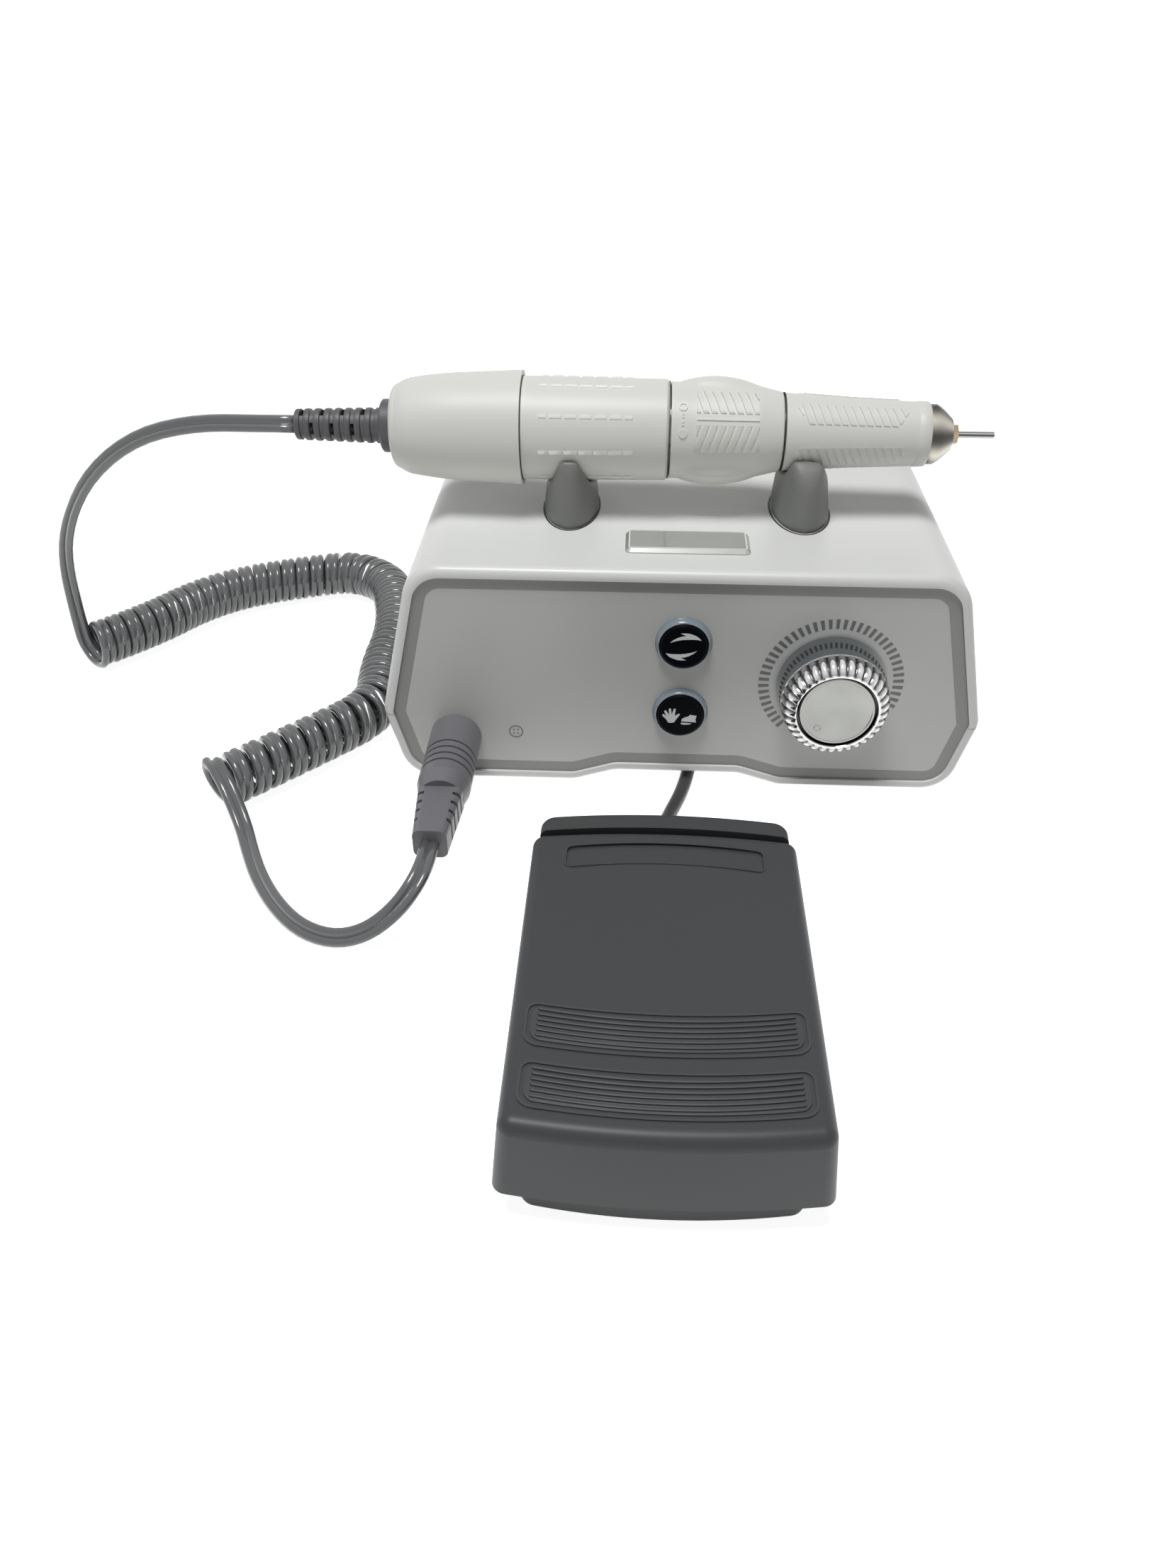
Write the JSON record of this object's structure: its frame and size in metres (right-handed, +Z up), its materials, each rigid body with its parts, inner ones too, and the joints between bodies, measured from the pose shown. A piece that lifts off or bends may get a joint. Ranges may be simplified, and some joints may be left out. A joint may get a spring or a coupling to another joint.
{
  "type": "dental micromotor",
  "caption": "Bench micromotor: control box with dial, push buttons and cradle, motor handpiece on a curly cord, and a hinged foot pedal on a cable.",
  "frame": {"origin": "on the bench, under the middle of control box, pedal and handpiece together", "axes": "+X to the handpiece's nose, +Y from the pedal to the box's back panel, +Z up"},
  "size_m": [0.2895, 0.3522, 0.1088],
  "materials": {
    "shell_white": "satin moulded ABS",
    "handpiece_white": "satin white enamel on aluminium",
    "panel_grey": "printed acrylic sheet",
    "back_grey": "fine grained",
    "rest_grey": "smooth matte",
    "nameplate_silver": "clear domed label on silver",
    "foot_rubber": "matte",
    "screw_steel": "zinc plated",
    "button_black": "glossy with printed symbol",
    "light_ring_clear": "translucent",
    "skirt_grey": "matte",
    "knob_chrome": "polished",
    "cap_silver": "spun",
    "part_black": "moulded",
    "part_steel": "ground",
    "board_green": "solder mask",
    "core_steel": "laminated",
    "winding_copper": "enamelled wire",
    "fitting_grey": "smooth soft plastic",
    "cord_grey": "glossy polyurethane",
    "cable_black": "satin",
    "nose_steel": "satin nickel",
    "nut_brass": "machined",
    "magnet_dark": "sintered",
    "brush_carbon": "sintered",
    "commutator_copper": "turned",
    "pedal_grey": "fine satin grain",
    "grip_rubber": "ribbed"
  },
  "bodies": {
    "unit": {"upper_housing": "shell_white", "lower_housing": "shell_white", "front_panel": "panel_grey", "rear_panel": "back_grey", "rest_left": "rest_grey", "rest_right": "rest_grey", "nameplate": "nameplate_silver", "rubber_feet": "foot_rubber", "housing_screws": "screw_steel", "button_light_rings": "light_ring_clear", "potentiometer": "part_black", "control_board": "board_green", "transformer_core": "core_steel", "transformer_winding": "winding_copper", "motor_socket": "part_steel", "mains_inlet": "part_black", "power_switch_frame": "part_black", "pedal_jack": "part_steel", "rear_cord": "cord_grey", "curly_cord": "cord_grey", "front_cord": "cord_grey", "motor_plug": "fitting_grey", "plug_boot": "fitting_grey", "pedal_cable": "cable_black", "pedal_cable_coil": "cable_black", "pedal_cable_end": "cable_black", "pedal_plug": "cable_black", "pedal_base": "pedal_grey", "pedal_pivot_pin": "part_steel", "pedal_springs": "part_steel", "pedal_switch": "part_black", "pedal_feet": "foot_rubber", "pedal_cable_gland": "cable_black"},
    "direction_key": {"direction_button": "button_black"},
    "mode_key": {"mode_button": "button_black"},
    "speed_dial": {"knob_skirt": "skirt_grey", "speed_knob": "knob_chrome", "knob_cap": "cap_silver", "potentiometer_shaft": "part_steel"},
    "power_key": {"power_rocker": "part_black"},
    "pedal_top": {"pedal_cover": "pedal_grey", "pedal_grips": "grip_rubber"},
    "handpiece": {"cord_boot": "fitting_grey", "rear_cap": "handpiece_white", "motor_housing": "handpiece_white", "inner_sleeve": "part_steel", "front_grip": "handpiece_white", "nose_cone": "nose_steel", "motor_magnets": "magnet_dark", "brush_holder": "part_black", "carbon_brushes": "brush_carbon", "spindle_bearings": "part_steel"},
    "chuck_ring": {"lock_ring": "handpiece_white"},
    "chuck_cam": {"cam_sleeve": "part_steel"},
    "spindle": {"rotor_shaft": "part_steel", "rotor_core": "core_steel", "commutator": "commutator_copper", "collet": "part_steel", "collet_nut": "nut_brass"},
    "tool": {"test_bar": "part_steel"}
  },
  "joints": [
    {"name": "direction_button_press", "type": "slide", "parent": "unit", "child": "direction_key", "axis": [0, 1, 0], "range_m": [0, 0.001], "stiffness_N_per_m": 400, "springref_m": -0.001},
    {"name": "mode_button_press", "type": "slide", "parent": "unit", "child": "mode_key", "axis": [0, 1, 0], "range_m": [0, 0.001], "stiffness_N_per_m": 400, "springref_m": -0.001},
    {"name": "speed_dial_turn", "type": "hinge", "parent": "unit", "child": "speed_dial", "pos_m": [0.05435, 0.0118, 0.0374], "axis": [0, 1, 0], "range_deg": [0, 270]},
    {"name": "power_rocker_tilt", "type": "hinge", "parent": "unit", "child": "power_key", "pos_m": [0.03075, 0.132, 0.036], "axis": [1, 0, 0], "range_deg": [-20, 0]},
    {"name": "pedal_press", "type": "hinge", "parent": "unit", "child": "pedal_top", "pos_m": [0.00815, -0.0582, 0.02], "axis": [1, 0, 0], "range_deg": [0, 3.5], "stiffness_Nm_per_rad": 3, "springref_deg": -1.72, "deforming": ["pedal_springs"]},
    {"name": "handpiece_lift", "type": "slide", "parent": "unit", "child": "handpiece", "axis": [0, 0, 1], "range_m": [0, 0.04]},
    {"name": "chuck_ring_turn", "type": "hinge", "parent": "handpiece", "child": "chuck_ring", "pos_m": [0.01275, 0.0548, 0.0933], "axis": [1, 0, 0], "range_deg": [0, 40]},
    {"name": "chuck_cam_slide", "type": "slide", "parent": "handpiece", "child": "chuck_cam", "axis": [1, 0, 0], "range_m": [0, 0.0016]},
    {"name": "spindle_spin", "type": "hinge", "parent": "handpiece", "child": "spindle", "pos_m": [0.01275, 0.0548, 0.0933], "axis": [1, 0, 0], "continuous": true},
    {"name": "tool_pull", "type": "slide", "parent": "spindle", "child": "tool", "axis": [1, 0, 0], "range_m": [0, 0.024]}
  ],
  "couplings": [
    {"joint": "chuck_cam_slide", "follows": "chuck_ring_turn", "m_per_rad": 0.00215}
  ]
}
